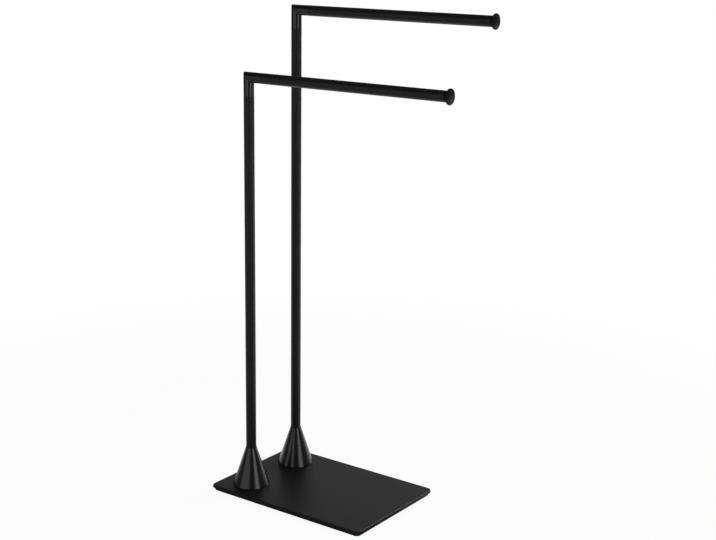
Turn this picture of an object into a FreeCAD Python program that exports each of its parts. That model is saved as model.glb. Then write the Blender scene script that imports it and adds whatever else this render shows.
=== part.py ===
"""Freestanding towel stand: a weighted steel base, two upright posts and two swivelling towel arms.

Millimetres.  The origin is the centre of the base's underside, on the floor.  +X runs along the
base towards the free ends of the arms, +Y runs from the short post to the tall post, +Z is up.
"""
import FreeCAD, Part
import os
from math import atan2, cos, pi, sin, sqrt

from FreeCAD import Vector

# ---- Base ------------------------------------------------------------------------------------
BASE_LENGTH = 345.0            # top plate along X
BASE_WIDTH = 240.0             # top plate along Y
BASE_CORNER_R = 12.0           # corner radius of the top plate, seen from above
TOP_PLATE_T = 5.0              # thickness of the visible steel plate
TOP_EDGE_R = 2.2               # rounding of the plate's upper edge
UNDERSIDE_EDGE_CHAMFER = 0.4   # broken edge round the plate's underside
UNDERLAYER_INSET = 4.0         # how far the ballast plate stands back from the top plate's edge
BALLAST_T = 4.0                # thickness of the ballast plate under the top plate
PAD_INSET = 0.6                # how far the anti-slip pad stands back from the ballast plate
PAD_T = 1.5                    # thickness of the anti-slip pad

# ---- Posts -----------------------------------------------------------------------------------
POST_END_MARGIN = 56.5         # post axis to the short edge of the top plate
POST_SIDE_MARGIN = 53.0        # each post axis to its long edge of the top plate
TUBE_OD = 19.0                 # posts and arms are the same tube
TUBE_WALL = 1.2
TUBE_END_CHAMFER = 0.3         # broken outer edge at each visible tube end
LOWER_ARM_HEIGHT = 776.0       # floor to the axis of the lower arm
ARM_HEIGHT_STEP = 111.0        # the upper arm's axis above the lower arm's

# ---- Post feet -------------------------------------------------------------------------------
FOOT_FLANGE_D = 52.0           # disc the tube stands on, hidden by the cone
FOOT_FLANGE_T = 4.0
FOOT_SPIGOT_LENGTH = 26.0      # how far the foot reaches up into the tube
POST_SCREW_D = 8.0             # M8
POST_SCREW_LENGTH = 25.0       # under the head
POST_SCREW_HEAD_D = 14.0
POST_SCREW_HEAD_H = 4.4
POST_SCREW_SOCKET_AF = 5.0     # hexagon socket, across flats
POST_SCREW_SOCKET_DEPTH = 2.6
POST_SCREW_CLEARANCE = 0.3     # radial, where the screw passes the top plate
POST_SCREW_POCKET_CLEARANCE = 2.0   # radial, round the head in the ballast plate
POST_SCREW_TIP_ROOM = 2.0      # thread left free past the end of the screw

# ---- Cones -----------------------------------------------------------------------------------
CONE_BASE_D = 68.0
CONE_TOP_D = 20.6
CONE_HEIGHT = 73.0
CONE_RIM_H = 1.0               # upright band at the very foot of the cone
CONE_WALL = 1.6
CONE_TUBE_CLEARANCE = 0.2      # radial, between the cone's bore and the post
CONE_RING_PROUD = 0.6          # how far the rubber ring stands out of the post
CONE_RING_H = 1.2

# ---- Ballast screws --------------------------------------------------------------------------
BALLAST_SCREW_MARGIN = 20.0    # screw axis to the ballast plate's edges
BALLAST_SCREW_D = 5.0          # M5 countersunk
BALLAST_SCREW_HEAD_D = 10.0
BALLAST_SCREW_BITE = 3.0       # thread in the top plate
BALLAST_SCREW_TIP_ROOM = 0.6
BALLAST_SCREW_CLEARANCE = 0.25  # radial, in the ballast plate
BALLAST_SCREW_SOCKET_AF = 3.0
BALLAST_SCREW_SOCKET_DEPTH = 1.5

# ---- Swivels ---------------------------------------------------------------------------------
ELBOW_LEG = 33.0               # arm axis down to the parting line, and post axis out to the arm
ELBOW_WALL = 1.5
BUSH_FLANGE_T = 0.8            # the parting line seen under each elbow
BUSH_FLANGE_PROUD = 0.2        # how far the flange stands out of the tube
BUSH_SLEEVE_LENGTH = 38.0
PIVOT_D = 12.0
PIVOT_RUNNING_CLEARANCE = 0.05  # radial, pivot in bush
PIVOT_PLUG_LENGTH = 22.0       # upper end of the pivot, pressed into the elbow
PIVOT_TAIL = 3.0               # pivot below the retaining ring
PIVOT_TIP_CHAMFER = 0.8
ELBOW_LIFT = 0.15              # the elbow's end face stays off the bush; the pivot's shoulder bears
SWIVEL_END_FLOAT = 0.1
THRUST_WASHER_T = 1.0
THRUST_WASHER_CLEARANCE = 0.1  # radial, washer on pivot
WASHER_TUBE_CLEARANCE = 0.6    # radial, washer and retaining ring inside the post
RETAINING_RING_T = 1.0
RETAINING_GROOVE_DEPTH = 0.5
RETAINING_RING_GAP = 4.0       # opening of the ring

# ---- Arms ------------------------------------------------------------------------------------
ARM_REACH = 419.0              # post axis to the outermost point of the end cap
JOINER_IN_ELBOW = 22.0
JOINER_IN_TUBE = 30.0
JOINER_BORE_D = 10.0
GRUB_SCREW_D = 4.0             # M4
GRUB_SCREW_LENGTH = 4.0
GRUB_SCREW_FROM_SEAM = 15.0
GRUB_SCREW_SUNK = 0.3          # below the tube's surface
GRUB_SCREW_SOCKET_AF = 2.0
GRUB_SCREW_SOCKET_DEPTH = 1.8
CAP_D = 27.0
CAP_COLLAR_LENGTH = 1.5        # same diameter as the tube
CAP_FLARE_LENGTH = 4.5
CAP_RIM_T = 2.0
CAP_DOME_H = 1.5
CAP_DISH_D = 17.0              # shallow turned dish in the face
CAP_DISH_DEPTH = 0.5
CAP_SPIGOT_LENGTH = 14.0
CAP_SPIGOT_WALL = 2.0

# ---- Worked out from the sizes above -----------------------------------------------------------
TUBE_R = TUBE_OD / 2
TUBE_BORE_R = TUBE_R - TUBE_WALL
ELBOW_BORE_R = TUBE_R - ELBOW_WALL
PIVOT_R = PIVOT_D / 2
BALLAST_Z = PAD_T
TOP_PLATE_Z = BALLAST_Z + BALLAST_T
BASE_TOP_Z = TOP_PLATE_Z + TOP_PLATE_T
POST_X = -BASE_LENGTH / 2 + POST_END_MARGIN
POST_Y = BASE_WIDTH / 2 - POST_SIDE_MARGIN
BALLAST_LENGTH = BASE_LENGTH - 2 * UNDERLAYER_INSET
BALLAST_WIDTH = BASE_WIDTH - 2 * UNDERLAYER_INSET
BALLAST_CORNER_R = BASE_CORNER_R - UNDERLAYER_INSET
POCKET_R = POST_SCREW_HEAD_D / 2 + POST_SCREW_POCKET_CLEARANCE
CAP_LENGTH = CAP_COLLAR_LENGTH + CAP_FLARE_LENGTH + CAP_RIM_T + CAP_DOME_H
ARM_TUBE_END = ARM_REACH - CAP_LENGTH

SHORT_POST = Vector(POST_X, -POST_Y, 0)
TALL_POST = Vector(POST_X, POST_Y, 0)
UP = Vector(0, 0, 1)
ALONG_ARM = Vector(1, 0, 0)
SAME_HEIGHT = 1e-6             # tolerance when edges are picked by their height


# ---- Shapes used by several pieces -------------------------------------------------------------
def cylinder(radius, length, start=Vector(0, 0, 0), direction=UP):
    return Part.makeCylinder(radius, length, start, direction)


def turned(edges):
    """A closed outline in the XZ plane, with X as the radius, spun round the Z axis."""
    face = Part.Face(Part.Wire(edges))
    return face.revolve(Vector(0, 0, 0), UP, 360)


def line(start, end):
    return Part.makeLine(Vector(start[0], 0, start[1]), Vector(end[0], 0, end[1]))


def arc(start, middle, end):
    points = [Vector(r, 0, z) for r, z in (start, middle, end)]
    return Part.Arc(*points).toShape()


def turned_polygon(points):
    """Straight-sided turned piece: (radius, height) points in order, closed back to the first."""
    return turned([line(a, b) for a, b in zip(points, points[1:] + points[:1])])


def chamfered_tube(outer_r, bore_r, length, chamfer):
    """Upright tube from height 0, its two outer end edges broken."""
    return turned_polygon([
        (bore_r, 0),
        (outer_r - chamfer, 0),
        (outer_r, chamfer),
        (outer_r, length - chamfer),
        (outer_r - chamfer, length),
        (bore_r, length),
    ])


def lay_along_arm(shape):
    """Turn a piece made upright so that its height runs along +X."""
    shape.rotate(Vector(0, 0, 0), Vector(0, 1, 0), 90)
    return shape


def dome_rise(radius, rim_r, crown):
    """Height over the rim of a spherical dome that is crown high, at a distance from its axis."""
    sphere_r = (rim_r ** 2 + crown ** 2) / (2 * crown)
    return sqrt(sphere_r ** 2 - radius ** 2) - (sphere_r - crown)


def hexagon_prism(across_flats, height, base_z):
    radius = across_flats / 2 / cos(pi / 6)
    corners = [Vector(radius * cos(k * pi / 3), radius * sin(k * pi / 3), base_z) for k in range(6)]
    outline = Part.makePolygon(corners + corners[:1])
    return Part.Face(outline).extrude(UP * height)


def rounded_slab(length, width, thickness, corner_r, base_z):
    slab = Part.makeBox(length, width, thickness, Vector(-length / 2, -width / 2, base_z))
    upright = [edge for edge in slab.Edges if abs(edge.BoundBox.ZLength - thickness) < SAME_HEIGHT]
    return slab.makeFillet(corner_r, upright)


def edges_at_height(shape, z):
    def is_level(edge):
        box = edge.BoundBox
        return max(abs(box.ZMin - z), abs(box.ZMax - z)) < SAME_HEIGHT

    return [edge for edge in shape.Edges if is_level(edge)]


# ---- Base ------------------------------------------------------------------------------------
def post_axes():
    return [SHORT_POST, TALL_POST]


def ballast_screw_axes():
    reach_x = BALLAST_LENGTH / 2 - BALLAST_SCREW_MARGIN
    reach_y = BALLAST_WIDTH / 2 - BALLAST_SCREW_MARGIN
    return [Vector(sx * reach_x, sy * reach_y, 0) for sx in (-1, 1) for sy in (-1, 1)]


def base_plate():
    plate = rounded_slab(BASE_LENGTH, BASE_WIDTH, TOP_PLATE_T, BASE_CORNER_R, TOP_PLATE_Z)
    plate = plate.makeFillet(TOP_EDGE_R, edges_at_height(plate, BASE_TOP_Z))
    plate = plate.makeChamfer(UNDERSIDE_EDGE_CHAMFER, edges_at_height(plate, TOP_PLATE_Z))
    for axis in post_axes():
        hole_r = POST_SCREW_D / 2 + POST_SCREW_CLEARANCE
        plate = plate.cut(cylinder(hole_r, TOP_PLATE_T, axis + UP * TOP_PLATE_Z))
    for axis in ballast_screw_axes():
        depth = BALLAST_SCREW_BITE + BALLAST_SCREW_TIP_ROOM
        plate = plate.cut(cylinder(BALLAST_SCREW_D / 2, depth, axis + UP * TOP_PLATE_Z))
    return plate


def countersunk_blank(shank_clearance, length):
    """Countersunk head and shank, head down, standing on the ballast plate's underside."""
    head_r = BALLAST_SCREW_HEAD_D / 2
    shank_r = BALLAST_SCREW_D / 2 + shank_clearance
    return turned_polygon([
        (0, BALLAST_Z),
        (head_r, BALLAST_Z),
        (shank_r, BALLAST_Z + head_r - shank_r),
        (shank_r, BALLAST_Z + length),
        (0, BALLAST_Z + length),
    ])


def ballast_plate():
    plate = rounded_slab(BALLAST_LENGTH, BALLAST_WIDTH, BALLAST_T, BALLAST_CORNER_R, BALLAST_Z)
    for axis in post_axes():
        plate = plate.cut(cylinder(POCKET_R, BALLAST_T, axis + UP * BALLAST_Z))
    for axis in ballast_screw_axes():
        plate = plate.cut(countersunk_blank(BALLAST_SCREW_CLEARANCE, BALLAST_T).translated(axis))
    return plate


def anti_slip_pad():
    length = BALLAST_LENGTH - 2 * PAD_INSET
    width = BALLAST_WIDTH - 2 * PAD_INSET
    pad = rounded_slab(length, width, PAD_T, BALLAST_CORNER_R - PAD_INSET, 0)
    for axis in post_axes():
        pad = pad.cut(cylinder(POCKET_R, PAD_T, axis))
    return pad


def ballast_screws():
    screw = countersunk_blank(0, BALLAST_T + BALLAST_SCREW_BITE)
    screw = screw.cut(hexagon_prism(BALLAST_SCREW_SOCKET_AF, BALLAST_SCREW_SOCKET_DEPTH, BALLAST_Z))
    return Part.makeCompound([screw.translated(axis) for axis in ballast_screw_axes()])


def post_screws():
    """Button-head screws, head down, bearing on the underside of the top plate."""
    head_r = POST_SCREW_HEAD_D / 2
    head_bottom = TOP_PLATE_Z - POST_SCREW_HEAD_H
    shoulder_r = head_r / 2
    shoulder = (shoulder_r, TOP_PLATE_Z - dome_rise(shoulder_r, head_r, POST_SCREW_HEAD_H))
    screw_r = POST_SCREW_D / 2
    tip = TOP_PLATE_Z + POST_SCREW_LENGTH
    screw = turned([
        arc((0, head_bottom), shoulder, (head_r, TOP_PLATE_Z)),
        line((head_r, TOP_PLATE_Z), (screw_r, TOP_PLATE_Z)),
        line((screw_r, TOP_PLATE_Z), (screw_r, tip)),
        line((screw_r, tip), (0, tip)),
        line((0, tip), (0, head_bottom)),
    ])
    screw = screw.cut(hexagon_prism(POST_SCREW_SOCKET_AF, POST_SCREW_SOCKET_DEPTH, head_bottom))
    return Part.makeCompound([screw.translated(axis) for axis in post_axes()])


# ---- Posts -----------------------------------------------------------------------------------
def post_foot():
    """Turned foot: a disc on the base and a spigot pressed into the tube, tapped from below."""
    tube_seat = BASE_TOP_Z + FOOT_FLANGE_T
    foot = turned_polygon([
        (0, BASE_TOP_Z),
        (FOOT_FLANGE_D / 2, BASE_TOP_Z),
        (FOOT_FLANGE_D / 2, tube_seat),
        (TUBE_BORE_R, tube_seat),
        (TUBE_BORE_R, tube_seat + FOOT_SPIGOT_LENGTH),
        (0, tube_seat + FOOT_SPIGOT_LENGTH),
    ])
    thread_depth = POST_SCREW_LENGTH - TOP_PLATE_T + POST_SCREW_TIP_ROOM
    return foot.cut(cylinder(POST_SCREW_D / 2, thread_depth, UP * BASE_TOP_Z))


def post_tube(arm_height):
    bottom = BASE_TOP_Z + FOOT_FLANGE_T
    top = arm_height - ELBOW_LEG - BUSH_FLANGE_T
    tube = chamfered_tube(TUBE_R, TUBE_BORE_R, top - bottom, TUBE_END_CHAMFER)
    return tube.translated(UP * bottom)


def post_cone():
    """Hollow turned cone that slides down the post and hides the foot."""
    base_r = CONE_BASE_D / 2
    top_r = CONE_TOP_D / 2
    bore_r = TUBE_R + CONE_TUBE_CLEARANCE
    slant = sqrt((base_r - top_r) ** 2 + (CONE_HEIGHT - CONE_RIM_H) ** 2)
    wall_across = CONE_WALL * slant / (CONE_HEIGHT - CONE_RIM_H)
    taper = (CONE_HEIGHT - CONE_RIM_H) / (base_r - top_r)
    bore_start = CONE_RIM_H + (base_r - wall_across - bore_r) * taper
    cone = turned_polygon([
        (base_r - wall_across, 0),
        (base_r, 0),
        (base_r, CONE_RIM_H),
        (top_r, CONE_HEIGHT),
        (bore_r, CONE_HEIGHT),
        (bore_r, bore_start),
        (base_r - wall_across, CONE_RIM_H),
    ])
    return cone.translated(UP * BASE_TOP_Z)


def cone_ring():
    """Rubber ring round the post that closes the gap above the cone."""
    ring_z = BASE_TOP_Z + CONE_HEIGHT
    middle = (TUBE_R + CONE_RING_PROUD, ring_z + CONE_RING_H / 2)
    shoulder = TUBE_R + CONE_RING_PROUD / 2
    ring = turned([
        line((TUBE_R, ring_z), (shoulder, ring_z)),
        arc((shoulder, ring_z), middle, (shoulder, ring_z + CONE_RING_H)),
        line((shoulder, ring_z + CONE_RING_H), (TUBE_R, ring_z + CONE_RING_H)),
        line((TUBE_R, ring_z + CONE_RING_H), (TUBE_R, ring_z)),
    ])
    return ring


def swivel_bush(arm_height):
    """Plastic bush pressed into the top of the post; its thin flange is the parting line."""
    seam = arm_height - ELBOW_LEG
    flange_r = TUBE_R + BUSH_FLANGE_PROUD
    bore_r = PIVOT_R + PIVOT_RUNNING_CLEARANCE
    return turned_polygon([
        (bore_r, seam - BUSH_FLANGE_T - BUSH_SLEEVE_LENGTH),
        (TUBE_BORE_R, seam - BUSH_FLANGE_T - BUSH_SLEEVE_LENGTH),
        (TUBE_BORE_R, seam - BUSH_FLANGE_T),
        (flange_r, seam - BUSH_FLANGE_T),
        (flange_r, seam),
        (bore_r, seam),
    ])


# ---- Swivelling arms, made round a post axis at X = Y = 0 with the arm's axis at height 0 ----------
def mitred_bar(radius, down, out):
    """Round bar that comes up from -down, turns a sharp mitred corner and runs out to +X."""
    reach = radius + down + out
    beyond = Part.makeBox(2 * reach, 2 * reach, 2 * reach, Vector(-reach, -reach, 0))
    beyond.rotate(Vector(0, 0, 0), Vector(0, 1, 0), 45)
    upright = cylinder(radius, down + radius, UP * -down).cut(beyond)
    level = cylinder(radius, out + radius, ALONG_ARM * -radius, ALONG_ARM).common(beyond)
    return upright.fuse(level).removeSplitter()


def arm_elbow():
    outer = mitred_bar(TUBE_R, ELBOW_LEG - ELBOW_LIFT, ELBOW_LEG)
    past_the_ends = ELBOW_LEG + ELBOW_WALL
    return outer.cut(mitred_bar(ELBOW_BORE_R, past_the_ends, past_the_ends))


def retaining_ring_z():
    return -ELBOW_LEG - BUSH_FLANGE_T - BUSH_SLEEVE_LENGTH - SWIVEL_END_FLOAT - THRUST_WASHER_T


def pivot_pin():
    """Turned steel pivot: pressed into the elbow above, running in the bush, grooved at its foot."""
    groove_top = retaining_ring_z()
    groove_bottom = groove_top - RETAINING_RING_T
    groove_r = PIVOT_R - RETAINING_GROOVE_DEPTH
    tip = groove_bottom - PIVOT_TAIL
    return turned_polygon([
        (0, tip),
        (PIVOT_R - PIVOT_TIP_CHAMFER, tip),
        (PIVOT_R, tip + PIVOT_TIP_CHAMFER),
        (PIVOT_R, groove_bottom),
        (groove_r, groove_bottom),
        (groove_r, groove_top),
        (PIVOT_R, groove_top),
        (PIVOT_R, -ELBOW_LEG),
        (ELBOW_BORE_R, -ELBOW_LEG),
        (ELBOW_BORE_R, -ELBOW_LEG + PIVOT_PLUG_LENGTH),
        (0, -ELBOW_LEG + PIVOT_PLUG_LENGTH),
    ])


def thrust_washer():
    bore_r = PIVOT_R + THRUST_WASHER_CLEARANCE
    outer_r = TUBE_BORE_R - WASHER_TUBE_CLEARANCE
    bottom = UP * retaining_ring_z()
    washer = cylinder(outer_r, THRUST_WASHER_T, bottom)
    return washer.cut(cylinder(bore_r, THRUST_WASHER_T, bottom))


def retaining_ring():
    groove_r = PIVOT_R - RETAINING_GROOVE_DEPTH
    outer_r = TUBE_BORE_R - WASHER_TUBE_CLEARANCE
    bottom = retaining_ring_z() - RETAINING_RING_T
    ring = cylinder(outer_r, RETAINING_RING_T, UP * bottom)
    ring = ring.cut(cylinder(groove_r, RETAINING_RING_T, UP * bottom))
    opening = Part.makeBox(outer_r, RETAINING_RING_GAP, RETAINING_RING_T,
                           Vector(0, -RETAINING_RING_GAP / 2, bottom))
    return ring.cut(opening)


def arm_joiner():
    """Hollow plug that joins the elbow to the arm tube, tapped from below for the grub screw."""
    joiner = lay_along_arm(turned_polygon([
        (JOINER_BORE_D / 2, ELBOW_LEG - JOINER_IN_ELBOW),
        (ELBOW_BORE_R, ELBOW_LEG - JOINER_IN_ELBOW),
        (ELBOW_BORE_R, ELBOW_LEG),
        (TUBE_BORE_R, ELBOW_LEG),
        (TUBE_BORE_R, ELBOW_LEG + JOINER_IN_TUBE),
        (JOINER_BORE_D / 2, ELBOW_LEG + JOINER_IN_TUBE),
    ]))
    return joiner.cut(grub_screw_hole())


def grub_screw_hole():
    start = ALONG_ARM * (ELBOW_LEG + GRUB_SCREW_FROM_SEAM)
    return cylinder(GRUB_SCREW_D / 2, TUBE_R, start, UP * -1)


def arm_grub_screw():
    outer_end = -TUBE_R + GRUB_SCREW_SUNK
    screw = cylinder(GRUB_SCREW_D / 2, GRUB_SCREW_LENGTH, UP * outer_end)
    screw = screw.cut(hexagon_prism(GRUB_SCREW_SOCKET_AF, GRUB_SCREW_SOCKET_DEPTH, outer_end))
    return screw.translated(ALONG_ARM * (ELBOW_LEG + GRUB_SCREW_FROM_SEAM))


def arm_tube():
    tube = chamfered_tube(TUBE_R, TUBE_BORE_R, ARM_TUBE_END - ELBOW_LEG, TUBE_END_CHAMFER)
    tube = lay_along_arm(tube).translated(ALONG_ARM * ELBOW_LEG)
    return tube.cut(grub_screw_hole())


def flare_middle(rim_r, start):
    """Middle of the cap's flare, an arc that leaves the collar in line with the tube."""
    turn = 2 * atan2(rim_r - TUBE_R, CAP_FLARE_LENGTH)
    flare_r = CAP_FLARE_LENGTH / sin(turn)
    return (TUBE_R + flare_r * (1 - cos(turn / 2)), start + flare_r * sin(turn / 2))


def arm_end_cap():
    """Turned cap: a spigot in the tube, a collar, a hollow flare and a domed face with a dish."""
    rim_r = CAP_D / 2
    flare_start = CAP_COLLAR_LENGTH
    rim_start = flare_start + CAP_FLARE_LENGTH
    rim_end = rim_start + CAP_RIM_T
    spigot_bore_r = TUBE_BORE_R - CAP_SPIGOT_WALL
    dish_r = CAP_DISH_D / 2
    dish_floor_r = dish_r - CAP_DISH_DEPTH

    def on_face(radius, sunk=0):
        return (radius, rim_end + dome_rise(radius, rim_r, CAP_DOME_H) - sunk)

    dish_edge = on_face(dish_floor_r, CAP_DISH_DEPTH)
    crown = on_face(0, CAP_DISH_DEPTH)
    cap = turned([
        line((0, 0), (spigot_bore_r, 0)),
        line((spigot_bore_r, 0), (spigot_bore_r, -CAP_SPIGOT_LENGTH)),
        line((spigot_bore_r, -CAP_SPIGOT_LENGTH), (TUBE_BORE_R, -CAP_SPIGOT_LENGTH)),
        line((TUBE_BORE_R, -CAP_SPIGOT_LENGTH), (TUBE_BORE_R, 0)),
        line((TUBE_BORE_R, 0), (TUBE_R, 0)),
        line((TUBE_R, 0), (TUBE_R, flare_start)),
        arc((TUBE_R, flare_start), flare_middle(rim_r, flare_start), (rim_r, rim_start)),
        line((rim_r, rim_start), (rim_r, rim_end)),
        arc((rim_r, rim_end), on_face((dish_r + rim_r) / 2), on_face(dish_r)),
        line(on_face(dish_r), dish_edge),
        arc(dish_edge, on_face(dish_floor_r / 2, CAP_DISH_DEPTH), crown),
        line(crown, (0, 0)),
    ])
    return lay_along_arm(cap).translated(ALONG_ARM * ARM_TUBE_END)


# ---- The whole stand -------------------------------------------------------------------------
def post_pieces(prefix, axis, arm_height):
    return {
        prefix + "_post_foot": post_foot().translated(axis),
        prefix + "_post_tube": post_tube(arm_height).translated(axis),
        prefix + "_post_cone": post_cone().translated(axis),
        prefix + "_post_cone_ring": cone_ring().translated(axis),
        prefix + "_post_swivel_bush": swivel_bush(arm_height).translated(axis),
    }


def arm_pieces(prefix, axis, arm_height):
    place = axis + UP * arm_height
    return {
        prefix + "_arm_elbow": arm_elbow().translated(place),
        prefix + "_arm_pivot_pin": pivot_pin().translated(place),
        prefix + "_arm_thrust_washer": thrust_washer().translated(place),
        prefix + "_arm_retaining_ring": retaining_ring().translated(place),
        prefix + "_arm_joiner": arm_joiner().translated(place),
        prefix + "_arm_grub_screw": arm_grub_screw().translated(place),
        prefix + "_arm_tube": arm_tube().translated(place),
        prefix + "_arm_end_cap": arm_end_cap().translated(place),
    }


def towel_stand():
    upper_arm_height = LOWER_ARM_HEIGHT + ARM_HEIGHT_STEP
    pieces = {
        "base_plate": base_plate(),
        "ballast_plate": ballast_plate(),
        "anti_slip_pad": anti_slip_pad(),
        "ballast_screws": ballast_screws(),
        "post_screws": post_screws(),
    }
    pieces.update(post_pieces("short", SHORT_POST, LOWER_ARM_HEIGHT))
    pieces.update(post_pieces("tall", TALL_POST, upper_arm_height))
    pieces.update(arm_pieces("lower", SHORT_POST, LOWER_ARM_HEIGHT))
    pieces.update(arm_pieces("upper", TALL_POST, upper_arm_height))
    return pieces


os.makedirs("parts", exist_ok=True)
for name, shape in towel_stand().items():
    shape.exportStep("parts/" + name + ".step")
    print(name, len(shape.Solids), "solid(s)", round(shape.Volume), "mm3", shape.isValid())
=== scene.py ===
"""Looks of the freestanding towel stand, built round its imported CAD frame.  Metres, +Z up."""

from math import asin, atan2, hypot, pi, radians, tan, tau

import bmesh
import bpy
from mathutils import Matrix, Vector


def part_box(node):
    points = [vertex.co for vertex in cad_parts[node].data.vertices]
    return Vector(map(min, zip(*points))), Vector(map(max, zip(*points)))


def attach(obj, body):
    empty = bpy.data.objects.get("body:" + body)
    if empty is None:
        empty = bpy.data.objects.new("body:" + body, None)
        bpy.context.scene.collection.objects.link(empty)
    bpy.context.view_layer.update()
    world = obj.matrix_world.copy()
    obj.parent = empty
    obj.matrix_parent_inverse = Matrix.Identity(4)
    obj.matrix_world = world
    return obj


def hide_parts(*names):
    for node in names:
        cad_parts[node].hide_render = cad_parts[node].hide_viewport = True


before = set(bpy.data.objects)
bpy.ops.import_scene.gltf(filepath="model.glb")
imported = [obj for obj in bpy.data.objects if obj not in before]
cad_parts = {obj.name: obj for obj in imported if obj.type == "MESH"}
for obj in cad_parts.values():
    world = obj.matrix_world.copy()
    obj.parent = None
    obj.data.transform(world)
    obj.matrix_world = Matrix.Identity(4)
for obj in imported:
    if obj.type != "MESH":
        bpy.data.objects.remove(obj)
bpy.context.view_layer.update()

# ---- Base plate --------------------------------------------------------------------------------
# A 5 mm steel plate, laser cut with rounded corners.  Its upper edge is rolled over by grinding
# before the plate is powder coated, and the posts are bolted up against it from below.
MM = 0.001
PLATE_CORNER_R = 12 * MM
PLATE_UPPER_EDGE_R = 2.2 * MM
PLATE_UNDER_EDGE = 0.4 * MM
SHARP_ANGLE = radians(32)
SAME_PLACE = 0.01 * MM           # heights or radii that differ by less are the same
MERGE_DISTANCE = 0.001 * MM      # corners closer than this are one corner


def linear(hex_colour):
    """An sRGB colour such as #1a1a1b as the linear RGBA that a shader socket takes."""
    channels = [int(hex_colour[k:k + 2], 16) / 255 for k in (1, 3, 5)]
    return [c / 12.92 if c <= 0.04045 else ((c + 0.055) / 1.055) ** 2.4 for c in channels] + [1]


def add_node(tree, kind, settings=(), links=()):
    """Adds a node.  A setting or link names an input socket, by name or number, or an attribute."""
    node = tree.nodes.new(kind)
    for key, value in dict(settings).items():
        if isinstance(key, int) or key in node.inputs:
            node.inputs[key].default_value = value
        else:
            setattr(node, key, value)
    for key, output in dict(links).items():
        tree.links.new(output, node.inputs[key])
    return node


def new_material(name):
    material = bpy.data.materials.new(name)
    material.use_nodes = True
    material.node_tree.nodes.clear()
    return material, material.node_tree


def powder_coat():
    """Polyester powder, sprayed and baked: black with a fine orange peel that blurs every
    reflection into a soft grey sheen."""
    colour = linear("#0a0a0b")
    colour_on_crests = linear("#0f0f10")
    roughness = (0.40, 0.50)
    peel_spacing = 2.5 * MM      # about 0.6 mm on the real coat, drawn coarser so that it shows
    peel_depth = 0.02 * MM
    material, tree = new_material("powder_coat_sprayed_and_baked")
    place = add_node(tree, "ShaderNodeTexCoord").outputs["Object"]
    peel = add_node(tree, "ShaderNodeTexNoise", {"Scale": 1 / peel_spacing, "Detail": 3},
                    {"Vector": place})
    tint = add_node(tree, "ShaderNodeMix", {"data_type": "RGBA", 6: colour, 7: colour_on_crests},
                    {"Factor": peel.outputs["Fac"]})
    gloss = add_node(tree, "ShaderNodeMapRange", {"To Min": roughness[0], "To Max": roughness[1]},
                     {"Value": peel.outputs["Fac"]})
    relief = add_node(tree, "ShaderNodeBump", {"Distance": peel_depth},
                      {"Height": peel.outputs["Fac"]})
    shader = add_node(tree, "ShaderNodeBsdfPrincipled", {"IOR": 1.5, "Specular IOR Level": 0.38},
                      {"Base Color": tint.outputs[2], "Roughness": gloss.outputs["Result"],
                       "Normal": relief.outputs["Normal"]})
    add_node(tree, "ShaderNodeOutputMaterial", {}, {"Surface": shader.outputs["BSDF"]})
    return material


def finish_piece(name, bm, material, body, node):
    """Turns a mesh into a piece that rides on a body in place of a CAD node."""
    mesh = bpy.data.meshes.new(name)
    bm.to_mesh(mesh)
    bm.free()
    mesh.shade_smooth()
    mesh.set_sharp_from_angle(angle=SHARP_ANGLE)
    mesh.materials.append(material)
    piece = bpy.data.objects.new(name, mesh)
    bpy.context.scene.collection.objects.link(piece)
    flat_faces_stay_flat = piece.modifiers.new("weighted normals", "WEIGHTED_NORMAL")
    flat_faces_stay_flat.keep_sharp = True
    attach(piece, body)
    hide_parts(node)
    return piece


def round_edges(bm, edges, radius, segments):
    bmesh.ops.bevel(bm, geom=edges, offset=radius, segments=segments, profile=0.5,
                    affect="EDGES", material=-1)


def level_edges(bm, height):
    return [e for e in bm.edges if all(abs(v.co.z - height) < SAME_PLACE for v in e.verts)]


COATED = powder_coat()
plate_low, plate_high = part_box("base_plate")
bm = bmesh.new()
bmesh.ops.create_cube(bm, size=1)
bmesh.ops.scale(bm, vec=plate_high - plate_low, verts=bm.verts)
bmesh.ops.translate(bm, vec=(plate_low + plate_high) / 2, verts=bm.verts)
uprights = [e for e in bm.edges if abs(e.verts[0].co.z - e.verts[1].co.z) > SAME_PLACE]
round_edges(bm, uprights, PLATE_CORNER_R, segments=16)
round_edges(bm, level_edges(bm, plate_high.z), PLATE_UPPER_EDGE_R, segments=8)
round_edges(bm, level_edges(bm, plate_low.z), PLATE_UNDER_EDGE, segments=2)
finish_piece("coated_base_plate", bm, COATED, "stand", "base_plate")

# ---- Ballast plate -----------------------------------------------------------------------------
# A second steel plate, a little smaller, screwed up under the first to weigh the stand down.  It is
# dip coated in black primer and keeps its flat sawn edge, so it is duller than the plate above it.


def dress_node(name, material):
    """Gives a CAD piece that already has its true shape a finish of its own."""
    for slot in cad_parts[name].material_slots:
        slot.material = material


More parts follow.
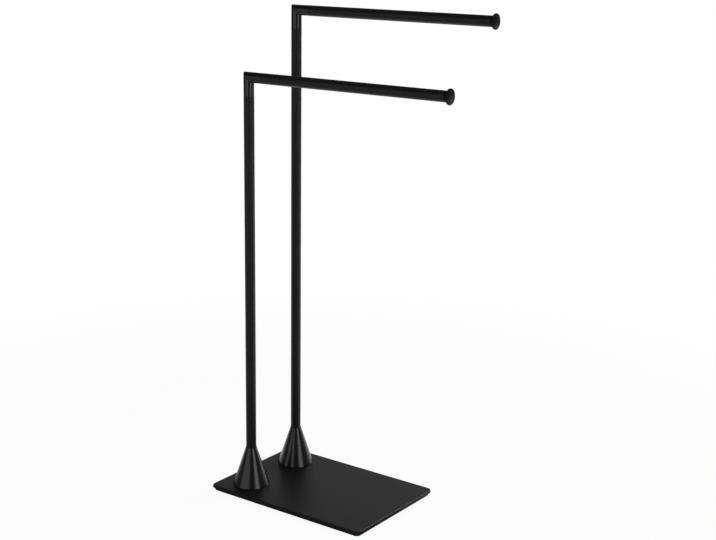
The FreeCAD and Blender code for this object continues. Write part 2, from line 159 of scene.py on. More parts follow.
def dipped_primer():
    """Black dip primer on mill steel: thin and flat, with faint rolling streaks along the plate."""
    streak_width = 4 * MM
    streak_stretch = 0.05
    streak_depth = 0.03 * MM
    material, tree = new_material("dip_primer_on_rolled_steel")
    place = add_node(tree, "ShaderNodeTexCoord").outputs["Object"]
    along = add_node(tree, "ShaderNodeMapping", {"Scale": (streak_stretch, 1, 1)},
                     {"Vector": place})
    streaks = add_node(tree, "ShaderNodeTexNoise", {"Scale": 1 / streak_width, "Detail": 4},
                       {"Vector": along.outputs["Vector"]})
    tint = add_node(tree, "ShaderNodeMix",
                    {"data_type": "RGBA", 6: linear("#0f0f10"), 7: linear("#171718")},
                    {"Factor": streaks.outputs["Fac"]})
    relief = add_node(tree, "ShaderNodeBump", {"Distance": streak_depth},
                      {"Height": streaks.outputs["Fac"]})
    shader = add_node(tree, "ShaderNodeBsdfPrincipled", {"Roughness": 0.65, "IOR": 1.5},
                      {"Base Color": tint.outputs[2], "Normal": relief.outputs["Normal"]})
    add_node(tree, "ShaderNodeOutputMaterial", {}, {"Surface": shader.outputs["BSDF"]})
    return material


dress_node("ballast_plate", dipped_primer())

# ---- Anti-slip pad -----------------------------------------------------------------------------
# A 1.5 mm sheet of black rubber, cut a hair smaller than the ballast plate and glued under it.  It
# is the only piece that meets the floor.


def sheet_rubber():
    """Calendered natural rubber: dull, with the weave of the calender's cloth pressed in."""
    weave_spacing = 3 * MM       # 1 mm on real sheet, drawn coarser so that it shows
    weave_depth = 0.08 * MM
    bands_in_a_unit = 10 / pi    # of a wave texture at a scale of 1
    dust_size = 25 * MM
    material, tree = new_material("rubber_calendered_sheet")
    place = add_node(tree, "ShaderNodeTexCoord").outputs["Object"]
    waves = [add_node(tree, "ShaderNodeTexWave",
                      {"bands_direction": axis, "Scale": 1 / bands_in_a_unit / weave_spacing},
                      {"Vector": place})
             for axis in ("X", "Y")]
    weave = add_node(tree, "ShaderNodeMath", {"operation": "MULTIPLY"},
                     {0: waves[0].outputs["Fac"], 1: waves[1].outputs["Fac"]})
    dust = add_node(tree, "ShaderNodeTexNoise", {"Scale": 1 / dust_size, "Detail": 5},
                    {"Vector": place})
    tint = add_node(tree, "ShaderNodeMix",
                    {"data_type": "RGBA", 6: linear("#101010"), 7: linear("#1a1a19")},
                    {"Factor": dust.outputs["Fac"]})
    relief = add_node(tree, "ShaderNodeBump", {"Distance": weave_depth},
                      {"Height": weave.outputs[0]})
    shader = add_node(tree, "ShaderNodeBsdfPrincipled", {"Roughness": 0.85, "IOR": 1.52},
                      {"Base Color": tint.outputs[2], "Normal": relief.outputs["Normal"]})
    add_node(tree, "ShaderNodeOutputMaterial", {}, {"Surface": shader.outputs["BSDF"]})
    return material


RUBBER = sheet_rubber()
dress_node("anti_slip_pad", RUBBER)

# ---- Screws, feet and joiners ------------------------------------------------------------------
# Everything that bolts the stand together is turned or cold headed steel with a bright zinc plate.
# It is seen only through the holes of the ballast plate, or when the stand is taken apart.


def zinc_plate():
    """Electroplated zinc, passivated: pale and slightly blue, with a fine cloudy grain."""
    grain_size = 1.5 * MM
    roughness = (0.28, 0.42)
    material, tree = new_material("zinc_electroplated")
    place = add_node(tree, "ShaderNodeTexCoord").outputs["Object"]
    grain = add_node(tree, "ShaderNodeTexNoise", {"Scale": 1 / grain_size, "Detail": 3},
                     {"Vector": place})
    tint = add_node(tree, "ShaderNodeMix",
                    {"data_type": "RGBA", 6: linear("#a9aeb4"), 7: linear("#c3c7cb")},
                    {"Factor": grain.outputs["Fac"]})
    gloss = add_node(tree, "ShaderNodeMapRange", {"To Min": roughness[0], "To Max": roughness[1]},
                     {"Value": grain.outputs["Fac"]})
    shader = add_node(tree, "ShaderNodeBsdfPrincipled", {"Metallic": 1},
                      {"Base Color": tint.outputs[2], "Roughness": gloss.outputs["Result"]})
    add_node(tree, "ShaderNodeOutputMaterial", {}, {"Surface": shader.outputs["BSDF"]})
    return material


ZINC = zinc_plate()
ARMS = {"lower": "short", "upper": "tall"}
for name in ("ballast_screws", "post_screws"):
    dress_node(name, ZINC)
for post in ARMS.values():
    dress_node(post + "_post_foot", ZINC)
for arm in ARMS:
    for piece in ("pivot_pin", "retaining_ring", "joiner"):
        dress_node(f"{arm}_arm_{piece}", ZINC)

# ---- Post tubes --------------------------------------------------------------------------------
# Drawn steel tube, 19 mm across with a 1.2 mm wall, cut square and deburred, then powder coated with
# the plate.  Each is pressed over its foot and closed at the top by the swivel's bush.
TUBE_WALL = 1.2 * MM
TUBE_END_EDGE = 0.3 * MM
STEPS_ROUND = 128                # flats round every turned piece


def turned(corners):
    """Spins a closed outline of (radius, height, edge rounding) corners round the Z axis."""
    bm = bmesh.new()
    points = [bm.verts.new((radius, 0, height)) for radius, height, _ in corners]
    for start, end in zip(points, points[1:] + points[:1]):
        bm.edges.new((start, end))
    for point, (_, _, rounding) in zip(points, corners):
        if rounding:
            bmesh.ops.bevel(bm, geom=[point], offset=rounding, segments=6, profile=0.5,
                            affect="VERTICES", material=-1)
    return spun(bm)


def spun(bm):
    bmesh.ops.spin(bm, geom=bm.verts[:] + bm.edges[:], cent=(0, 0, 0), axis=(0, 0, 1), angle=tau,
                   steps=STEPS_ROUND, use_merge=True)
    bmesh.ops.remove_doubles(bm, verts=bm.verts, dist=MERGE_DISTANCE)
    bmesh.ops.recalc_face_normals(bm, faces=bm.faces)
    return bm


def round_box(node):
    """Axis, radius and height range of an upright round CAD piece."""
    low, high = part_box(node)
    axis = Vector(((low.x + high.x) / 2, (low.y + high.y) / 2, 0))
    return axis, (high.x - low.x) / 2, low.z, high.z


TUBE_R = round_box("short_post_tube")[1]
for post in ARMS.values():
    axis, _, bottom, top = round_box(post + "_post_tube")
    bm = turned([
        (TUBE_R - TUBE_WALL, bottom, 0),
        (TUBE_R, bottom, TUBE_END_EDGE),
        (TUBE_R, top, TUBE_END_EDGE),
        (TUBE_R - TUBE_WALL, top, 0),
    ])
    bmesh.ops.translate(bm, vec=axis, verts=bm.verts)
    finish_piece(f"coated_{post}_post_tube", bm, COATED, "stand",
                 post + "_post_tube")

# ---- Cones -------------------------------------------------------------------------------------
# Each post's foot is hidden by a hollow cone, spun from steel sheet on a lathe, brushed and plated
# in black nickel.  It drops over the post and stands on the plate by its own upright rim.
CONE_WALL = 1.6 * MM
CONE_RIM_H = 1.0 * MM
CONE_TOP_R = 10.3 * MM
CONE_BORE_R = 9.7 * MM
CONE_FOOT_INNER_EDGE = 0.2 * MM
CONE_FOOT_EDGE = 0.3 * MM
CONE_RIM_EDGE = 0.4 * MM
CONE_TOP_EDGE = 0.25 * MM
CONE_BORE_EDGE = 0.1 * MM


def map_round(bm):
    """UV map for lathe marks: U runs round the Z axis and V along the piece, both in metres of
    height plus half the radius, so that no ring of the outline is flat in V."""
    layer = bm.loops.layers.uv.new("lathe")
    for face in bm.faces:
        corners = [(loop, loop.vert.co) for loop in face.loops]
        off_axis = [co for _, co in corners if hypot(co.x, co.y) > SAME_PLACE]
        centre = sum(off_axis, Vector()) / len(off_axis)
        facing = atan2(centre.y, centre.x)
        for loop, co in corners:
            radius = hypot(co.x, co.y)
            turn = atan2(co.y, co.x) - facing if radius > SAME_PLACE else 0
            turn -= tau * round(turn / tau)
            loop[layer].uv = ((facing + turn) / tau, co.z + radius / 2)


def black_nickel():
    """Black nickel over brushed steel: a dark mirror, scratched round by the lathe so that each
    lamp is drawn out into a streak from the top of the piece to its foot."""
    colour = linear("#4b4b4c")
    colour_in_marks = linear("#3e3e3f")
    roughness = (0.18, 0.26)
    mark_spacing = 0.5 * MM      # about 0.1 mm on the real cone, drawn coarser so that it shows
    marks_round = 6
    mark_depth = 0.003 * MM
    material, tree = new_material("black_nickel_plated_brushed")
    place = add_node(tree, "ShaderNodeUVMap", {"uv_map": "lathe"})
    stretch = add_node(tree, "ShaderNodeMapping", {"Scale": (marks_round, 1 / mark_spacing, 1)},
                       {"Vector": place.outputs["UV"]})
    marks = add_node(tree, "ShaderNodeTexNoise", {"noise_dimensions": "2D", "Scale": 1, "Detail": 3},
                     {"Vector": stretch.outputs["Vector"]})
    tint = add_node(tree, "ShaderNodeMix", {"data_type": "RGBA", 6: colour_in_marks, 7: colour},
                    {"Factor": marks.outputs["Fac"]})
    gloss = add_node(tree, "ShaderNodeMapRange", {"To Min": roughness[0], "To Max": roughness[1]},
                     {"Value": marks.outputs["Fac"]})
    relief = add_node(tree, "ShaderNodeBump", {"Distance": mark_depth},
                      {"Height": marks.outputs["Fac"]})
    grain = add_node(tree, "ShaderNodeTangent", {"direction_type": "UV_MAP", "uv_map": "lathe"})
    shader = add_node(tree, "ShaderNodeBsdfPrincipled",
                      {"Metallic": 1, "Anisotropic": 0.5, "Anisotropic Rotation": 0.25},
                      {"Base Color": tint.outputs[2], "Roughness": gloss.outputs["Result"],
                       "Normal": relief.outputs["Normal"], "Tangent": grain.outputs["Tangent"]})
    add_node(tree, "ShaderNodeOutputMaterial", {}, {"Surface": shader.outputs["BSDF"]})
    return material


NICKEL = black_nickel()
for post in ARMS.values():
    axis, base_r, bottom, top = round_box(post + "_post_cone")
    rim_top = bottom + CONE_RIM_H
    taper = (top - rim_top) / (base_r - CONE_TOP_R)
    wall_across = CONE_WALL * hypot(top - rim_top, base_r - CONE_TOP_R) / (top - rim_top)
    bore_start = rim_top + (base_r - wall_across - CONE_BORE_R) * taper
    bm = turned([
        (base_r - wall_across, bottom, CONE_FOOT_INNER_EDGE),
        (base_r, bottom, CONE_FOOT_EDGE),
        (base_r, rim_top, CONE_RIM_EDGE),
        (CONE_TOP_R, top, CONE_TOP_EDGE),
        (CONE_BORE_R, top, CONE_BORE_EDGE),
        (CONE_BORE_R, bore_start, 0),
        (base_r - wall_across, rim_top, 0),
    ])
    map_round(bm)
    bmesh.ops.translate(bm, vec=axis, verts=bm.verts)
    finish_piece(f"plated_{post}_post_cone", bm, NICKEL, "stand",
                 post + "_post_cone")

# ---- Cone rings --------------------------------------------------------------------------------
# A rubber ring is stretched round each post just above the cone.  It stops the cone from rattling
# and closes the gap round the tube, and is seen as a thin black line.
RING_HIDDEN = 0.6 * MM
RING_EDGE = 0.5 * MM
for post in ARMS.values():
    axis, ring_r, bottom, top = round_box(post + "_post_cone_ring")
    bm = turned([
        (ring_r - RING_HIDDEN, bottom, 0),
        (ring_r, bottom, RING_EDGE),
        (ring_r, top, RING_EDGE),
        (ring_r - RING_HIDDEN, top, 0),
    ])
    bmesh.ops.translate(bm, vec=axis, verts=bm.verts)
    finish_piece(f"rubber_{post}_post_cone_ring", bm, RUBBER, "stand",
                 post + "_post_cone_ring")

# ---- Swivel bushes -----------------------------------------------------------------------------
# A moulded nylon bush is pressed into the top of each post and carries the arm's pivot.  Only its
# thin flange shows, as the dark parting line between the post and the elbow.
BUSH_FLANGE_T = 0.8 * MM
BUSH_FLANGE_EDGE = 0.15 * MM
BUSH_BORE_R = 6.05 * MM
BUSH_LEAD_IN = 0.2 * MM


def moulded_nylon():
    """Injection moulded nylon: black, with the fine spark texture of its mould."""
    spark_size = 0.6 * MM
    spark_depth = 0.02 * MM
    roughness = (0.42, 0.55)
    material, tree = new_material("nylon_injection_moulded")
    place = add_node(tree, "ShaderNodeTexCoord").outputs["Object"]
    spark = add_node(tree, "ShaderNodeTexNoise", {"Scale": 1 / spark_size, "Detail": 2},
                     {"Vector": place})
    gloss = add_node(tree, "ShaderNodeMapRange", {"To Min": roughness[0], "To Max": roughness[1]},
                     {"Value": spark.outputs["Fac"]})
    tint = add_node(tree, "ShaderNodeMix",
                    {"data_type": "RGBA", 6: linear("#0b0b0b"), 7: linear("#121212")},
                    {"Factor": spark.outputs["Fac"]})
    relief = add_node(tree, "ShaderNodeBump", {"Distance": spark_depth},
                      {"Height": spark.outputs["Fac"]})
    shader = add_node(tree, "ShaderNodeBsdfPrincipled", {"IOR": 1.53},
                      {"Base Color": tint.outputs[2], "Roughness": gloss.outputs["Result"],
                       "Normal": relief.outputs["Normal"]})
    add_node(tree, "ShaderNodeOutputMaterial", {}, {"Surface": shader.outputs["BSDF"]})
    return material


NYLON = moulded_nylon()
for arm, post in ARMS.items():
    axis, flange_r, bottom, top = round_box(post + "_post_swivel_bush")
    sleeve_r = TUBE_R - TUBE_WALL
    bm = turned([
        (BUSH_BORE_R, bottom, 0),
        (sleeve_r, bottom, BUSH_LEAD_IN),
        (sleeve_r, top - BUSH_FLANGE_T, 0),
        (flange_r, top - BUSH_FLANGE_T, BUSH_FLANGE_EDGE),
        (flange_r, top, BUSH_FLANGE_EDGE),
        (BUSH_BORE_R, top, BUSH_LEAD_IN),
    ])
    bmesh.ops.translate(bm, vec=axis, verts=bm.verts)
    finish_piece(f"nylon_{post}_post_swivel_bush", bm, NYLON, "stand",
                 post + "_post_swivel_bush")
    dress_node(arm + "_arm_thrust_washer", NYLON)

# ---- Elbows ------------------------------------------------------------------------------------
# Two short lengths of tube are cut at 45 degrees, welded and ground flush to a sharp mitre, then
# plated like the cones.  One leg turns on the post and the arm's tube is pushed over the other.
ELBOW_WALL = 1.5 * MM
MITRE_EDGE = 0.35 * MM
MITRE = Vector((1, 0, 1))        # square to the cut
ACROSS_THE_MITRE = Matrix(((0, 0, -1, 0), (0, 1, 0, 0), (-1, 0, 0, 0), (0, 0, 0, 1)))
for arm in ARMS:
    low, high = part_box(arm + "_arm_elbow")
    corner = Vector((low.x + TUBE_R, (low.y + high.y) / 2, high.z - TUBE_R))
    bm = bmesh.new()
    bmesh.ops.create_circle(bm, cap_ends=False, radius=TUBE_R, segments=STEPS_ROUND)
    bmesh.ops.translate(bm, vec=(0, 0, low.z - corner.z), verts=bm.verts)
    grown = bmesh.ops.extrude_edge_only(bm, edges=bm.edges)
    upper_ring = [v for v in grown["geom"] if isinstance(v, bmesh.types.BMVert)]
    bmesh.ops.translate(bm, vec=(0, 0, corner.z - low.z + 2 * TUBE_R), verts=upper_ring)
    bmesh.ops.bisect_plane(bm, geom=bm.verts[:] + bm.edges[:] + bm.faces[:], plane_co=(0, 0, 0),
                           plane_no=MITRE, clear_outer=True)
    map_round(bm)
    grown = bmesh.ops.duplicate(bm, geom=bm.verts[:] + bm.edges[:] + bm.faces[:])
    arm_leg = [v for v in grown["geom"] if isinstance(v, bmesh.types.BMVert)]
    bmesh.ops.transform(bm, matrix=ACROSS_THE_MITRE, verts=arm_leg)
    bmesh.ops.remove_doubles(bm, verts=bm.verts, dist=MERGE_DISTANCE)
    bmesh.ops.recalc_face_normals(bm, faces=bm.faces)
    seam = [e for e in bm.edges if all(abs(v.co.dot(MITRE)) < MERGE_DISTANCE for v in e.verts)]
    round_edges(bm, seam, MITRE_EDGE, segments=3)
    bmesh.ops.solidify(bm, geom=bm.faces, thickness=ELBOW_WALL)
    bmesh.ops.translate(bm, vec=corner, verts=bm.verts)
    finish_piece(f"plated_{arm}_arm_elbow", bm, NICKEL, arm + "_arm",
                 arm + "_arm_elbow")

# ---- Arm tubes and grub screws -----------------------------------------------------------------
# The same coated tube as the posts, with one hole drilled in the underside.  A black-oxide grub
# screw in the hole, turned in until it is just below the surface, locks the tube to its joiner.
GRUB_HOLE_R = 2 * MM


def black_oxide():
    """Steel blackened in a hot salt bath and oiled: a dark, slightly blue metal."""
    cloud_size = 0.8 * MM
    roughness = (0.3, 0.45)
    material, tree = new_material("steel_black_oxide")
    place = add_node(tree, "ShaderNodeTexCoord").outputs["Object"]
    cloud = add_node(tree, "ShaderNodeTexNoise", {"Scale": 1 / cloud_size, "Detail": 2},
                     {"Vector": place})
    gloss = add_node(tree, "ShaderNodeMapRange", {"To Min": roughness[0], "To Max": roughness[1]},
                     {"Value": cloud.outputs["Fac"]})
    tint = add_node(tree, "ShaderNodeMix",
                    {"data_type": "RGBA", 6: linear("#2c2c2f"), 7: linear("#38383c")},
                    {"Factor": cloud.outputs["Fac"]})
    shader = add_node(tree, "ShaderNodeBsdfPrincipled", {"Metallic": 1},
                      {"Base Color": tint.outputs[2], "Roughness": gloss.outputs["Result"]})
    add_node(tree, "ShaderNodeOutputMaterial", {}, {"Surface": shader.outputs["BSDF"]})
    return material


OXIDE = black_oxide()
for arm in ARMS:
    low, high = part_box(arm + "_arm_tube")
    screw_low, screw_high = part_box(arm + "_arm_grub_screw")
    start = Vector((low.x, (low.y + high.y) / 2, (low.z + high.z) / 2))
    lay_along_arm = Matrix.Translation(start) @ Matrix.Rotation(radians(90), 4, "Y")
    bm = turned([
        (TUBE_R - TUBE_WALL, 0, 0),
        (TUBE_R, 0, TUBE_END_EDGE),
        (TUBE_R, high.x - low.x, TUBE_END_EDGE),
        (TUBE_R - TUBE_WALL, high.x - low.x, 0),
    ])
    bmesh.ops.transform(bm, matrix=lay_along_arm, verts=bm.verts)
    tube = finish_piece(f"coated_{arm}_arm_tube", bm, COATED, arm + "_arm",
                        arm + "_arm_tube")
    bm = bmesh.new()
    bmesh.ops.create_cone(bm, cap_ends=True, segments=32, radius1=GRUB_HOLE_R, radius2=GRUB_HOLE_R,
                          depth=TUBE_R)
    hole_centre = ((screw_low.x + screw_high.x) / 2, start.y, low.z)
    bmesh.ops.translate(bm, vec=hole_centre, verts=bm.verts)
    drill_mesh = bpy.data.meshes.new("drill")
    bm.to_mesh(drill_mesh)
    bm.free()
    drill = bpy.data.objects.new("drill", drill_mesh)
    bpy.context.scene.collection.objects.link(drill)
    hole = tube.modifiers.new("grub screw hole", "BOOLEAN")
    hole.object = drill
    hole.solver = "EXACT"
    bpy.context.view_layer.update()
    with_hole = tube.evaluated_get(bpy.context.evaluated_depsgraph_get())
    drilled = bpy.data.meshes.new_from_object(with_hole)
    tube.modifiers.clear()
    tube.data = drilled
    bpy.data.objects.remove(drill)
    dress_node(arm + "_arm_grub_screw", OXIDE)

# ---- End caps ----------------------------------------------------------------------------------
# Turned from steel bar and stove enamelled: a spigot pushed into the arm, a collar flush with the
# tube, a trumpet flare and a domed face with a shallow dish.  It keeps the towel on the arm.
CAP_SPIGOT_LENGTH = 14 * MM
CAP_SPIGOT_WALL = 2 * MM
CAP_FLARE_R = 3.9 * MM
CAP_RIM_T = 2 * MM
CAP_RIM_FRONT_EDGE = 0.5 * MM
CAP_RIM_BACK_EDGE = 0.3 * MM
CAP_DOME_H = 1.5 * MM
CAP_DISH_R = 8.5 * MM
CAP_DISH_DEPTH = 0.5 * MM
CAP_LENGTH = 9.5 * MM


def stove_enamel():
    """Black enamel, dipped and stoved over turned steel: smoother than the powder coat, with a
    satin sheen and the faintest rings where the lathe's marks come through."""
    colour = linear("#0a0a0b")
    colour_in_marks = linear("#111112")
    roughness = (0.32, 0.40)
    mark_spacing = 0.9 * MM      # about 0.15 mm on the real cap, drawn coarser so that it shows
    marks_round = 2
    mark_depth = 0.01 * MM
    material, tree = new_material("stove_enamel_satin_on_turned_steel")
    place = add_node(tree, "ShaderNodeUVMap", {"uv_map": "lathe"})
    stretch = add_node(tree, "ShaderNodeMapping", {"Scale": (marks_round, 1 / mark_spacing, 1)},
                       {"Vector": place.outputs["UV"]})
    marks = add_node(tree, "ShaderNodeTexNoise", {"noise_dimensions": "2D", "Scale": 1, "Detail": 2},
                     {"Vector": stretch.outputs["Vector"]})
    tint = add_node(tree, "ShaderNodeMix", {"data_type": "RGBA", 6: colour, 7: colour_in_marks},
                    {"Factor": marks.outputs["Fac"]})
    gloss = add_node(tree, "ShaderNodeMapRange", {"To Min": roughness[0], "To Max": roughness[1]},
                     {"Value": marks.outputs["Fac"]})
    relief = add_node(tree, "ShaderNodeBump", {"Distance": mark_depth},
                      {"Height": marks.outputs["Fac"]})
    shader = add_node(tree, "ShaderNodeBsdfPrincipled", {"IOR": 1.5, "Specular IOR Level": 0.14},
                      {"Base Color": tint.outputs[2], "Roughness": gloss.outputs["Result"],
                       "Normal": relief.outputs["Normal"]})
    add_node(tree, "ShaderNodeOutputMaterial", {}, {"Surface": shader.outputs["BSDF"]})
    return material


ENAMEL = stove_enamel()
for arm in ARMS:
    low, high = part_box(arm + "_arm_end_cap")
    rim_r = (high.z - low.z) / 2
    face_height = CAP_LENGTH - CAP_DOME_H
    rim_back = face_height - CAP_RIM_T
    sphere_r = (rim_r ** 2 + CAP_DOME_H ** 2) / (2 * CAP_DOME_H)
    bore_r = TUBE_R - TUBE_WALL
    spigot_bore_r = bore_r - CAP_SPIGOT_WALL
    bm = bmesh.new()
    pole = bm.verts.new((0, 0, CAP_LENGTH))
    grown = bmesh.ops.spin(bm, geom=[pole], cent=(0, 0, CAP_LENGTH - sphere_r), axis=(0, 1, 0),
                           angle=asin(rim_r / sphere_r), steps=24)
    rim = grown["geom_last"][0]
    dish = [v for v in bm.verts if v.co.x < CAP_DISH_R]
    bmesh.ops.translate(bm, vec=(0, 0, -CAP_DISH_DEPTH), verts=dish)
    outline = [rim] + [bm.verts.new((radius, 0, height)) for radius, height in (
        (rim_r, rim_back),
        (TUBE_R, rim_back),
        (TUBE_R, 0),
        (bore_r, 0),
        (bore_r, -CAP_SPIGOT_LENGTH),
        (spigot_bore_r, -CAP_SPIGOT_LENGTH),
        (spigot_bore_r, 0),
        (0, 0),
    )]
    for start, end in zip(outline, outline[1:]):
        bm.edges.new((start, end))
    for corner, rounding in ((rim, CAP_RIM_FRONT_EDGE), (outline[1], CAP_RIM_BACK_EDGE),
                             (outline[2], CAP_FLARE_R)):
        bmesh.ops.bevel(bm, geom=[corner], offset=rounding, segments=10, profile=0.5,
                        affect="VERTICES", material=-1)
    spun(bm)
    map_round(bm)
    tube_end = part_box(arm + "_arm_tube")[1].x
    end_of_tube = Vector((tube_end, (low.y + high.y) / 2, (low.z + high.z) / 2))
    push_into_arm = Matrix.Translation(end_of_tube) @ Matrix.Rotation(radians(90), 4, "Y")
    bmesh.ops.transform(bm, matrix=push_into_arm, verts=bm.verts)
    finish_piece(f"enamelled_{arm}_arm_end_cap", bm, ENAMEL, arm + "_arm",
                 arm + "_arm_end_cap")

# ---- Floor -------------------------------------------------------------------------------------
# A plain white studio floor that fades into the white backdrop.  Only the shadow shows on it.  It
# reaches further behind the stand than in front, as the camera stands near the paper's front edge.
FLOOR_R = 4.5
FLOOR_SETBACK = 1.5
FLOOR_GAP = 0.1 * MM
BEHIND = Vector((-0.342, 0.940, 0))      # from the stand to the middle of the paper behind it


def floor_paper():
    """White studio paper.  The camera sees it lifted to the backdrop's white, more so with distance,
    and the rest is plain paper that keeps the object's shadow.  In the metal and the coat it glows
    white behind the stand and grey in front, with a painted shade that dims it most just in front
    of the plate's front edge."""
    lift_distance = (0.5, 1.6)
    lift = (0.92, 1)
    front_to_back = (-0.05, 0.2)
    mirrored_white = (0.33, 1.0)
    # where the painted shade in the glow lies, its shape, its reach and how far it dims the glow
    painted_shade_centre = (0.02, -0.14, 0)
    painted_shade_shape = (1, 1.6, 1)
    painted_shade_radius = (0.15, 0.40)
    painted_shade_level = 0.35
    material, tree = new_material("white_studio_paper")
    place = add_node(tree, "ShaderNodeTexCoord").outputs["Object"]
    distance = add_node(tree, "ShaderNodeVectorMath", {"operation": "LENGTH"}, {0: place})
    lifted = add_node(tree, "ShaderNodeMapRange",
                      {"From Min": lift_distance[0], "From Max": lift_distance[1], "To Min": lift[0],
                       "To Max": lift[1], "interpolation_type": "SMOOTHSTEP"},
                      {"Value": distance.outputs["Value"]})
    behind = add_node(tree, "ShaderNodeVectorMath", {"operation": "DOT_PRODUCT", 1: BEHIND},
                      {0: place})
    mirrored = add_node(tree, "ShaderNodeMapRange",
                        {"From Min": front_to_back[0], "From Max": front_to_back[1],
                         "To Min": mirrored_white[0], "To Max": mirrored_white[1],
                         "interpolation_type": "SMOOTHSTEP"}, {"Value": behind.outputs["Value"]})
    # painted shade: the glow that the metal and coat reflect is dimmed in a patch just in front of the
    # plate's front edge
    off_painted_shade = add_node(tree, "ShaderNodeVectorMath", {"operation": "SUBTRACT", 1: painted_shade_centre},
                      {0: place})
    off_painted_shade = add_node(tree, "ShaderNodeVectorMath", {"operation": "MULTIPLY", 1: painted_shade_shape},
                      {0: off_painted_shade.outputs[0]})
    from_painted_shade = add_node(tree, "ShaderNodeVectorMath", {"operation": "LENGTH"},
                          {0: off_painted_shade.outputs[0]})
    outside_painted_shade = add_node(tree, "ShaderNodeMapRange",
                        {"From Min": painted_shade_radius[0], "From Max": painted_shade_radius[1], "To Min": painted_shade_level,
                         "interpolation_type": "SMOOTHSTEP"}, {"Value": from_painted_shade.outputs["Value"]})
    mirrored = add_node(tree, "ShaderNodeMath", {"operation": "MULTIPLY"},
                        {0: mirrored.outputs["Result"], 1: outside_painted_shade.outputs["Result"]})
    ray = add_node(tree, "ShaderNodeLightPath")
    straight = add_node(tree, "ShaderNodeMath", {"operation": "MAXIMUM"},
                        {0: ray.outputs["Is Camera Ray"], 1: ray.outputs["Is Transmission Ray"]})
    lifted_share = add_node(tree, "ShaderNodeMath", {"operation": "MULTIPLY"},
                            {0: lifted.outputs["Result"], 1: straight.outputs[0]})
    white_share = add_node(tree, "ShaderNodeMath", {"operation": "MAXIMUM"},
                           {0: lifted_share.outputs[0], 1: ray.outputs["Is Glossy Ray"]})
    strength = add_node(tree, "ShaderNodeMix", {"data_type": "FLOAT", 2: 1},
                        {0: ray.outputs["Is Glossy Ray"], 3: mirrored.outputs[0]})
    paper = add_node(tree, "ShaderNodeBsdfDiffuse", {"Color": linear("#f4f4f4")})
    white = add_node(tree, "ShaderNodeEmission", {}, {"Strength": strength.outputs[0]})
    shown = add_node(tree, "ShaderNodeMixShader", {},
                     {0: white_share.outputs[0], 1: paper.outputs[0], 2: white.outputs[0]})
    add_node(tree, "ShaderNodeOutputMaterial", {}, {"Surface": shown.outputs[0]})
    return material


bm = bmesh.new()
bmesh.ops.create_circle(bm, cap_ends=True, segments=96, radius=FLOOR_R)
bmesh.ops.translate(bm, vec=BEHIND * FLOOR_SETBACK - Vector((0, 0, FLOOR_GAP)),
                    verts=bm.verts)
floor_mesh = bpy.data.meshes.new("floor")
bm.to_mesh(floor_mesh)
bm.free()
floor_mesh.materials.append(floor_paper())
floor = bpy.data.objects.new("floor", floor_mesh)
bpy.context.scene.collection.objects.link(floor)

# ---- Camera ------------------------------------------------------------------------------------
# A 67 mm lens 2.6 m away and a little above the arms, turned 36 degrees round from the short post.
# Its tilt and slight roll line the stand's edges up with the photograph's.
CAMERA_PLACE = Vector((1.4255, -1.8711, 1.0339))
CAMERA_AZIMUTH = radians(35.768)
CAMERA_PITCH = radians(14.332)
CAMERA_ROLL = radians(0.794)
CAMERA_LENS_MM = 67.49
SENSOR_WIDTH_MM = 36

camera_data = bpy.data.cameras.new("camera")
camera_data.lens = CAMERA_LENS_MM
camera_data.sensor_width = SENSOR_WIDTH_MM
camera = bpy.data.objects.new("camera", camera_data)
camera.matrix_world = (Matrix.Translation(CAMERA_PLACE) @ Matrix.Rotation(CAMERA_AZIMUTH, 4, "Z")
                       @ Matrix.Rotation(pi / 2 - CAMERA_PITCH, 4, "X")
                       @ Matrix.Rotation(CAMERA_ROLL, 4, "Z"))
bpy.context.scene.collection.objects.link(camera)
bpy.context.scene.camera = camera

# ---- Studio light ------------------------------------------------------------------------------
# Two softboxes, one to each side of the camera, draw the two streaks down the plated pieces, and a
# third further left lights the arms.  Two more with honeycomb grids, behind the stand and to its
# right, light its right-hand edges.  A wide diffuser overhead lights the floor.
SOFTBOX_DISTANCE = 2.2


def softbox(name, azimuth, width, bottom, height, radiance, fade, tilt=0, beam=pi):
    """A softbox that faces the stand and grows dim towards its two sides.  Azimuth 0 is at -Y and 90
    degrees at +X, fade is the share of the width that the two dim sides take up, and a beam narrower
    than pi stands for a honeycomb grid, which hides the lamp from what lies beside the beam."""
    light = bpy.data.lights.new(name, "AREA")
    light.shape = "RECTANGLE"
    light.size = width
    light.size_y = height
    light.spread = beam
    light.energy = radiance * pi * width * height * (1 - beam / 2 / tan(beam / 2))
    light.use_nodes = True
    tree = light.node_tree
    tree.nodes.clear()
    across = add_node(tree, "ShaderNodeSeparateXYZ", {},
                      {0: add_node(tree, "ShaderNodeNewGeometry").outputs["Parametric"]})
    off_centre = add_node(tree, "ShaderNodeMath", {"operation": "SUBTRACT", 1: 0.5},
                          {0: across.outputs["X"]})
    off_centre = add_node(tree, "ShaderNodeMath", {"operation": "ABSOLUTE"}, {0: off_centre.outputs[0]})
    glow = add_node(tree, "ShaderNodeMapRange",
                    {"From Min": 0.5, "From Max": 0.5 - fade / 2, "interpolation_type": "SMOOTHSTEP"},
                    {"Value": off_centre.outputs[0]})
    cloth = add_node(tree, "ShaderNodeEmission", {}, {"Strength": glow.outputs["Result"]})
    add_node(tree, "ShaderNodeOutputLight", {}, {"Surface": cloth.outputs[0]})
    lamp = bpy.data.objects.new(name, light)
    lamp.matrix_world = (Matrix.Rotation(azimuth, 4, "Z")
                         @ Matrix.Translation((0, -SOFTBOX_DISTANCE, bottom + height / 2))
                         @ Matrix.Rotation(pi / 2 - tilt, 4, "X"))
    lamp.visible_camera = False
    bpy.context.scene.collection.objects.link(lamp)


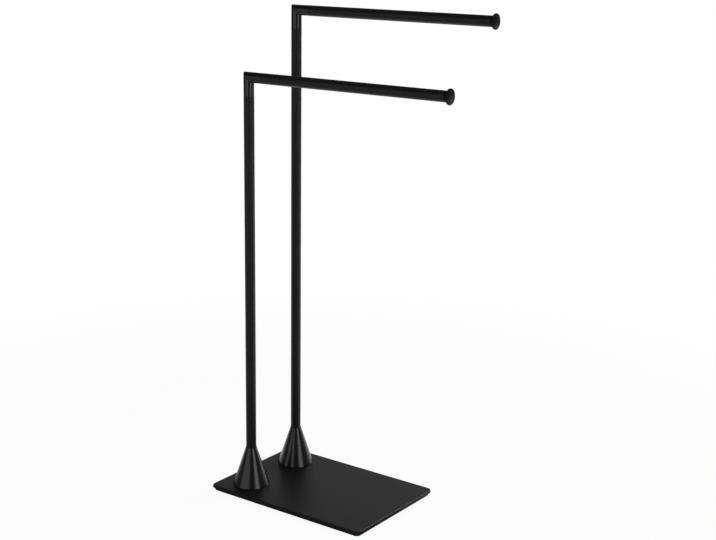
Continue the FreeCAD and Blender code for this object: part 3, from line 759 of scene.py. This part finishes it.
softbox("softbox_left", azimuth=radians(-7), width=3.3, bottom=0, height=1.7,
        radiance=0.62, fade=0.55)
softbox("softbox_left_high", azimuth=radians(-37), width=1.0, bottom=0.7, height=1.2,
        radiance=0.35, fade=0.6)
softbox("softbox_right", azimuth=radians(77), width=1.8, bottom=0, height=1.6,
        radiance=1.6, fade=0.9)
softbox("softbox_behind_low", azimuth=radians(163), width=1.0, bottom=0, height=0.5,
        radiance=5.0, fade=0.6, beam=radians(30))
softbox("softbox_behind_high", azimuth=radians(158), width=1.8, bottom=0.8, height=1.5,
        radiance=11, fade=0.6, tilt=radians(35), beam=radians(40))

OVERHEAD_SIZE = 2.4
OVERHEAD_HEIGHT = 2.6
OVERHEAD_RADIANCE = 2.0
overhead_light = bpy.data.lights.new("overhead_diffuser", "AREA")
overhead_light.size = OVERHEAD_SIZE
overhead_light.energy = OVERHEAD_RADIANCE * pi * OVERHEAD_SIZE ** 2
overhead = bpy.data.objects.new("overhead_diffuser", overhead_light)
overhead.location.z = OVERHEAD_HEIGHT
overhead.visible_camera = False
overhead.visible_glossy = False
bpy.context.scene.collection.objects.link(overhead)

# ---- Backdrop ----------------------------------------------------------------------------------
# The world stands for the studio: white paper behind and below the stand, and a dim room towards
# the camera and overhead.  The camera sees it white on every side.
PAPER_EDGE = (0.75, 1.0)         # cosine of the angle from the paper's middle where it fades out
PAPER_TOP = (0.12, 0.54)         # sine of the elevation where it fades out
ROOM = 0.09
OVERHEAD_ROOM = 0.08

world = bpy.data.worlds.new("studio")
world.use_nodes = True
tree = world.node_tree
tree.nodes.clear()
direction = add_node(tree, "ShaderNodeTexCoord").outputs["Generated"]
height = add_node(tree, "ShaderNodeSeparateXYZ", {}, {0: direction})
toward_paper = add_node(tree, "ShaderNodeVectorMath", {"operation": "DOT_PRODUCT", 1: BEHIND},
                        {0: direction})
beside = add_node(tree, "ShaderNodeMapRange",
                  {"From Min": PAPER_EDGE[0], "From Max": PAPER_EDGE[1],
                   "interpolation_type": "SMOOTHSTEP"}, {"Value": toward_paper.outputs["Value"]})
above = add_node(tree, "ShaderNodeMapRange",
                 {"From Min": PAPER_TOP[0], "From Max": PAPER_TOP[1], "To Min": 1, "To Max": 0,
                  "interpolation_type": "SMOOTHSTEP"}, {"Value": height.outputs["Z"]})
paper_share = add_node(tree, "ShaderNodeMath", {"operation": "MULTIPLY"},
                       {0: beside.outputs["Result"], 1: above.outputs["Result"]})
room = add_node(tree, "ShaderNodeMapRange",
                {"From Min": PAPER_TOP[0], "From Max": 1, "To Min": ROOM, "To Max": OVERHEAD_ROOM},
                {"Value": height.outputs["Z"]})
level = add_node(tree, "ShaderNodeMix", {"data_type": "FLOAT", 3: 1},
                 {0: paper_share.outputs[0], 2: room.outputs["Result"]})
ray = add_node(tree, "ShaderNodeLightPath")
shown_level = add_node(tree, "ShaderNodeMix", {"data_type": "FLOAT", 3: 1},
                       {0: ray.outputs["Is Camera Ray"], 2: level.outputs[0]})
background = add_node(tree, "ShaderNodeBackground", {"Color": (1, 1, 1, 1)},
                      {"Strength": shown_level.outputs[0]})
add_node(tree, "ShaderNodeOutputWorld", {}, {"Surface": background.outputs[0]})
bpy.context.scene.world = world
bpy.context.scene.view_settings.view_transform = "Standard"
